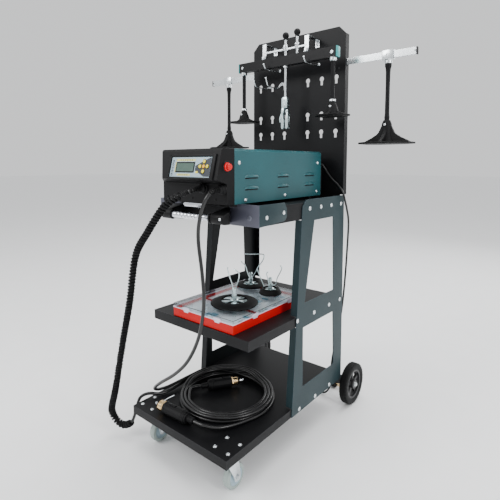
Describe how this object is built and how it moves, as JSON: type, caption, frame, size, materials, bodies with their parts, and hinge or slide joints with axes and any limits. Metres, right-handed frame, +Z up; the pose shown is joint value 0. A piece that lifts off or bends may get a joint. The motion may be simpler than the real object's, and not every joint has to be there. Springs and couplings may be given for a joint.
{
  "type": "dent repair spot welder trolley",
  "caption": "Three-shelf steel trolley with a stud spot welder, welding guns, a tool board with bridge pullers and a case of pull pads.",
  "frame": {"origin": "on the floor, under the middle of the station's box without its free cords", "axes": "+Z up, +X to the right seen from the front, front at -Y"},
  "size_m": [0.886, 0.782, 1.371],
  "materials": {
    "shelf_paint": "satin black powder coat",
    "panel_paint": "grey-teal powder coat",
    "frame_black": "black paint",
    "cover_paint": "teal enamel",
    "zinc": "bright zinc plate",
    "handle_chrome": "polished tube",
    "clamp_steel": "nickel plate",
    "tyre_rubber": "black solid rubber",
    "caster_tread": "pale moulded tread",
    "foot_rubber": "black rubber",
    "moulded_black": "black moulded plastic",
    "panel_silver": "silver printed panel",
    "button_yellow": "yellow keys",
    "knob_red": "red knob",
    "case_red": "red box",
    "case_clear": "clear lid",
    "cable_rubber": "black cable jacket"
  },
  "bodies": {
    "root": {"bottom_shelf": "shelf_paint", "middle_shelf": "shelf_paint", "top_shelf": "shelf_paint", "tool_board": "shelf_paint", "rear_axle": "zinc", "side_panel_left": "panel_paint", "side_panel_right": "panel_paint", "handle_bracket_left": "moulded_black", "handle_bracket_right": "moulded_black", "handle_tube": "handle_chrome", "cross_bar": "zinc", "puller_frame": "frame_black", "puller_hanger": "zinc", "welder_base": "frame_black", "welder_cover": "cover_paint", "welder_bezel": "moulded_black", "welder_rear_panel": "shelf_paint", "control_panel": "panel_silver", "cable_gland_left": "moulded_black", "cable_gland_right": "moulded_black", "case_tray": "case_red", "gun_1": "moulded_black", "gun_2": "moulded_black", "cable_left_drop": "cable_rubber", "cable_left_coil": "cable_rubber", "cable_right_drop": "cable_rubber", "cable_right_coil": "cable_rubber", "mains_lead_drop": "cable_rubber", "mains_coil": "cable_rubber", "mains_plug": "cable_rubber"},
    "rear_wheel_left": {"rear_wheel_left": "tyre_rubber"},
    "caster_left": {"caster_fork_left": "zinc"},
    "caster_wheel_left": {"caster_wheel_left": "caster_tread"},
    "bar_leg_left": {"bar_sleeve_left": "zinc", "bar_post_left": "frame_black"},
    "bar_foot_left": {"bar_foot_left": "foot_rubber"},
    "puller_foot_left": {"puller_foot_left": "foot_rubber"},
    "rear_wheel_right": {"rear_wheel_right": "tyre_rubber"},
    "caster_right": {"caster_fork_right": "zinc"},
    "caster_wheel_right": {"caster_wheel_right": "caster_tread"},
    "bar_leg_right": {"bar_sleeve_right": "zinc", "bar_post_right": "frame_black"},
    "bar_foot_right": {"bar_foot_right": "foot_rubber"},
    "puller_foot_right": {"puller_foot_right": "foot_rubber"},
    "pull_rod": {"pull_rod": "zinc", "clamp_body": "clamp_steel"},
    "clamp_jaw": {"clamp_jaw": "clamp_steel"},
    "lock_screw": {"lock_screw": "zinc"},
    "button_up": {"button_up": "button_yellow"},
    "button_down": {"button_down": "button_yellow"},
    "button_left": {"button_left": "button_yellow"},
    "button_right": {"button_right": "button_yellow"},
    "button_ok": {"button_ok": "button_yellow"},
    "power_knob": {"power_knob": "knob_red"},
    "case_lid": {"case_lid": "case_clear", "pull_pad_1": "foot_rubber", "pull_pad_2": "foot_rubber", "pull_pad_3": "foot_rubber"},
    "gun_trigger_1": {"gun_trigger_1": "moulded_black"},
    "gun_trigger_2": {"gun_trigger_2": "moulded_black"}
  },
  "joints": [
    {"name": "rear_wheel_left_spin", "type": "hinge", "parent": "root", "child": "rear_wheel_left", "pos_m": [-0.222, 0.2965, 0.075], "axis": [1, 0, 0], "continuous": true},
    {"name": "caster_left_swivel", "type": "hinge", "parent": "root", "child": "caster_left", "pos_m": [-0.16, -0.3235, 0.118], "axis": [0, 0, 1], "continuous": true},
    {"name": "caster_left_roll", "type": "hinge", "parent": "caster_left", "child": "caster_wheel_left", "pos_m": [-0.16, -0.2995, 0.036], "axis": [1, 0, 0], "continuous": true},
    {"name": "bar_leg_left_slide", "type": "slide", "parent": "root", "child": "bar_leg_left", "axis": [1, 0, 0], "range_m": [-0.065, 0.055]},
    {"name": "bar_foot_left_swivel", "type": "hinge", "parent": "bar_leg_left", "child": "bar_foot_left", "pos_m": [-0.35, 0.2495, 1.034], "axis": [0, 0, 1], "continuous": true},
    {"name": "puller_foot_left_swivel", "type": "hinge", "parent": "root", "child": "puller_foot_left", "pos_m": [-0.194, 0.1665, 1.095], "axis": [0, 0, 1], "continuous": true},
    {"name": "rear_wheel_right_spin", "type": "hinge", "parent": "root", "child": "rear_wheel_right", "pos_m": [0.222, 0.2965, 0.075], "axis": [1, 0, 0], "continuous": true},
    {"name": "caster_right_swivel", "type": "hinge", "parent": "root", "child": "caster_right", "pos_m": [0.16, -0.3235, 0.118], "axis": [0, 0, 1], "continuous": true},
    {"name": "caster_right_roll", "type": "hinge", "parent": "caster_right", "child": "caster_wheel_right", "pos_m": [0.16, -0.2995, 0.036], "axis": [1, 0, 0], "continuous": true},
    {"name": "bar_leg_right_slide", "type": "slide", "parent": "root", "child": "bar_leg_right", "axis": [1, 0, 0], "range_m": [-0.055, 0.065]},
    {"name": "bar_foot_right_swivel", "type": "hinge", "parent": "bar_leg_right", "child": "bar_foot_right", "pos_m": [0.35, 0.2495, 1.034], "axis": [0, 0, 1], "continuous": true},
    {"name": "puller_foot_right_swivel", "type": "hinge", "parent": "root", "child": "puller_foot_right", "pos_m": [0.194, 0.1665, 1.095], "axis": [0, 0, 1], "continuous": true},
    {"name": "pull_rod_lift", "type": "slide", "parent": "root", "child": "pull_rod", "axis": [0, 0, 1], "range_m": [0, 0.06]},
    {"name": "clamp_jaw_open", "type": "hinge", "parent": "pull_rod", "child": "clamp_jaw", "pos_m": [0.012, 0.1665, 1.086], "axis": [0, 1, 0], "range_deg": [-25, 0]},
    {"name": "lock_screw_turn", "type": "hinge", "parent": "root", "child": "lock_screw", "pos_m": [0.051, 0.1665, 1.3], "axis": [0, 0, 1], "range_deg": [-180, 180]},
    {"name": "button_up_press", "type": "slide", "parent": "root", "child": "button_up", "axis": [0, 0.9679, -0.2514], "range_m": [0, 0.0012], "stiffness_N_per_m": 200},
    {"name": "button_down_press", "type": "slide", "parent": "root", "child": "button_down", "axis": [0, 0.9679, -0.2514], "range_m": [0, 0.0012], "stiffness_N_per_m": 200},
    {"name": "button_left_press", "type": "slide", "parent": "root", "child": "button_left", "axis": [0, 0.9679, -0.2514], "range_m": [0, 0.0012], "stiffness_N_per_m": 200},
    {"name": "button_right_press", "type": "slide", "parent": "root", "child": "button_right", "axis": [0, 0.9679, -0.2514], "range_m": [0, 0.0012], "stiffness_N_per_m": 200},
    {"name": "button_ok_press", "type": "slide", "parent": "root", "child": "button_ok", "axis": [0, 0.9679, -0.2514], "range_m": [0, 0.0012], "stiffness_N_per_m": 200},
    {"name": "power_knob_turn", "type": "hinge", "parent": "root", "child": "power_knob", "pos_m": [0.142, -0.3015, 0.889], "axis": [1, 0, 0], "range_deg": [0, 90]},
    {"name": "case_lid_open", "type": "hinge", "parent": "root", "child": "case_lid", "pos_m": [0.015, 0.0735, 0.4492], "axis": [1, 0, 0], "range_deg": [-40, 0]},
    {"name": "gun_trigger_1_press", "type": "slide", "parent": "root", "child": "gun_trigger_1", "axis": [0, 0, -1], "range_m": [0, 0.0012], "stiffness_N_per_m": 300},
    {"name": "gun_trigger_2_press", "type": "slide", "parent": "root", "child": "gun_trigger_2", "axis": [0, 0, -1], "range_m": [0, 0.0012], "stiffness_N_per_m": 300}
  ]
}
